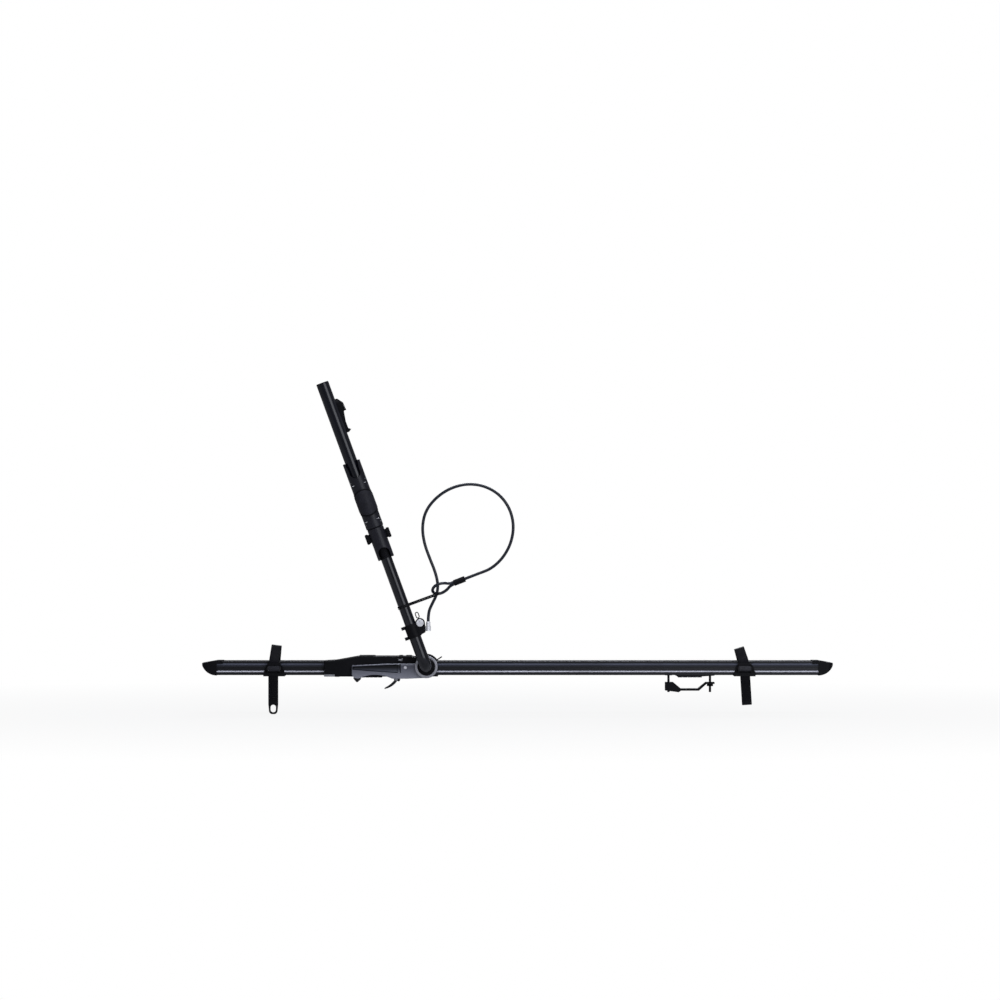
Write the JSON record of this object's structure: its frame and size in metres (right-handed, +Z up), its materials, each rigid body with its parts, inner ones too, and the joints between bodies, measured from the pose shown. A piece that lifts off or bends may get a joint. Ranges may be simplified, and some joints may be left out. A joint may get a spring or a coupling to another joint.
{
  "type": "roof mounted bike carrier",
  "caption": "Roof bike carrier: wheel tray on two crossbar feet, folding frame arm with telescoping wheel hook, lock cable and two wheel straps.",
  "frame": {"origin": "middle of the front crossbar seat, on the underside of its rubber pad", "axes": "+X along the tray to the rear, +Y across the tray away from the arm, +Z up"},
  "size_m": [1.593, 0.1778, 0.8393],
  "materials": {
    "black_anodised_aluminium": "black anodised, satin",
    "black_moulded_plastic": "fine grained",
    "grey_casting": "metallic grey lacquer on a zinc casting",
    "black_lacquered_steel": "gloss black lacquer on steel",
    "bright_steel": "bright zinc plated",
    "satin_silver": "satin silver",
    "black_rubber": "matt",
    "cable_jacket": "smooth blue grey jacket on steel wire"
  },
  "bodies": {
    "tray": {"tray_channel": "black_anodised_aluminium", "front_end_cap": "black_moulded_plastic", "rear_end_cap": "black_moulded_plastic", "base_housing": "black_moulded_plastic", "base_casting": "grey_casting", "casting_rivets": "bright_steel", "base_screws": "bright_steel", "base_pad": "black_rubber", "front_claw": "black_lacquered_steel", "nose_plate": "bright_steel", "latch_plate": "bright_steel", "jaw_pin": "bright_steel", "lever_pin": "bright_steel", "pivot_ring": "satin_silver", "pivot_bush": "satin_silver", "rear_saddle_plate": "black_moulded_plastic", "rear_bar_pad": "black_rubber", "rear_studs": "bright_steel"},
    "arm": {"pivot_hub": "black_moulded_plastic", "pivot_retainer": "bright_steel", "elbow_tube": "black_lacquered_steel", "lower_tube": "black_lacquered_steel", "lock_collar": "black_moulded_plastic", "collar_screws": "bright_steel", "cable_pin": "bright_steel", "lock_link": "black_moulded_plastic", "security_cable": "cable_jacket", "cable_eye": "cable_jacket", "cable_ferrule": "black_moulded_plastic", "cable_keeper": "cable_jacket"},
    "adjuster": {"adjuster_front_shell": "black_moulded_plastic", "adjuster_rear_shell": "black_moulded_plastic", "adjuster_screws": "bright_steel", "grip_pad": "black_rubber", "release_sleeve": "black_moulded_plastic", "upper_tube": "black_lacquered_steel", "tube_cap": "black_moulded_plastic", "wheel_hook": "black_moulded_plastic", "hook_pad": "black_rubber", "hook_screws": "bright_steel"},
    "left_paddle": {"paddle_left": "black_moulded_plastic"},
    "right_paddle": {"paddle_right": "black_moulded_plastic"},
    "lock": {"lock_barrel": "bright_steel"},
    "clamp_handle": {"clamp_lever": "grey_casting"},
    "jaw": {"clamp_jaw": "black_lacquered_steel"},
    "release": {"release_tab": "black_moulded_plastic"},
    "front_strap": {"front_strap_saddle": "black_moulded_plastic", "front_ladder_strap": "black_rubber", "front_buckle": "black_moulded_plastic", "front_strap_pins": "bright_steel"},
    "front_latch": {"front_buckle_lever": "black_moulded_plastic"},
    "rear_strap": {"rear_strap_saddle": "black_moulded_plastic", "rear_ladder_strap": "black_rubber", "rear_buckle": "black_moulded_plastic", "rear_strap_pins": "bright_steel"},
    "rear_latch": {"rear_buckle_lever": "black_moulded_plastic"},
    "rear_clamp": {"rear_clamp_bracket": "black_moulded_plastic"},
    "front_knob": {"front_clamp_knob": "black_moulded_plastic"},
    "rear_knob": {"rear_clamp_knob": "black_moulded_plastic"}
  },
  "joints": [
    {"name": "arm_fold", "type": "hinge", "parent": "tray", "child": "arm", "pos_m": [0.1381, -0.07, 0.0278], "axis": [0, 1, 0], "range_deg": [0, 105]},
    {"name": "arm_slide", "type": "slide", "parent": "arm", "child": "adjuster", "axis": [-0.3432, 0, 0.9393], "range_m": [-0.09, 0.07]},
    {"name": "paddle_left_squeeze", "type": "slide", "parent": "adjuster", "child": "left_paddle", "axis": [0.9393, 0, 0.3432], "range_m": [0, 0.0025], "stiffness_N_per_m": 800, "springref_m": -0.001},
    {"name": "paddle_right_squeeze", "type": "slide", "parent": "adjuster", "child": "right_paddle", "axis": [-0.9393, 0, -0.3432], "range_m": [0, 0.0025], "stiffness_N_per_m": 800, "springref_m": -0.001},
    {"name": "lock_turn", "type": "hinge", "parent": "arm", "child": "lock", "pos_m": [0.12289, -0.1, 0.13936], "axis": [0, 1, 0], "range_deg": [0, 90]},
    {"name": "clamp_lever_swing", "type": "hinge", "parent": "tray", "child": "clamp_handle", "pos_m": [0.0686, -0.058, 0.0236], "axis": [0, 0, 1], "range_deg": [0, 100]},
    {"name": "clamp_jaw_swing", "type": "hinge", "parent": "tray", "child": "jaw", "pos_m": [0.062, 0, -0.004], "axis": [0, -1, 0], "range_deg": [0, 30]},
    {"name": "release_turn", "type": "hinge", "parent": "tray", "child": "release", "pos_m": [0.1381, -0.065, 0.0278], "axis": [0, 1, 0], "range_deg": [0, 10], "stiffness_Nm_per_rad": 0.5, "springref_deg": -2.86},
    {"name": "front_strap_slide", "type": "slide", "parent": "tray", "child": "front_strap", "axis": [1, 0, 0], "range_m": [-0.09, 0.09]},
    {"name": "front_buckle_lift", "type": "hinge", "parent": "front_strap", "child": "front_latch", "pos_m": [-0.246, -0.0556, 0.0184], "axis": [1, 0, 0], "range_deg": [0, 80]},
    {"name": "rear_strap_slide", "type": "slide", "parent": "tray", "child": "rear_strap", "axis": [1, 0, 0], "range_m": [-0.04, 0.135]},
    {"name": "rear_buckle_lift", "type": "hinge", "parent": "rear_strap", "child": "rear_latch", "pos_m": [0.941, -0.0556, 0.0184], "axis": [1, 0, 0], "range_deg": [0, 80]},
    {"name": "rear_clamp_drop", "type": "slide", "parent": "tray", "child": "rear_clamp", "axis": [0, 0, -1], "range_m": [0, 0.012]},
    {"name": "front_knob_turn", "type": "hinge", "parent": "rear_clamp", "child": "front_knob", "pos_m": [0.75, 0, -0.02], "axis": [0, 0, 1], "continuous": true},
    {"name": "rear_knob_turn", "type": "hinge", "parent": "rear_clamp", "child": "rear_knob", "pos_m": [0.855, 0, -0.02], "axis": [0, 0, 1], "continuous": true}
  ],
  "couplings": [
    {"joint": "paddle_right_squeeze", "follows": "paddle_left_squeeze", "ratio": 1},
    {"joint": "clamp_jaw_swing", "follows": "clamp_lever_swing", "ratio": 0.3}
  ]
}
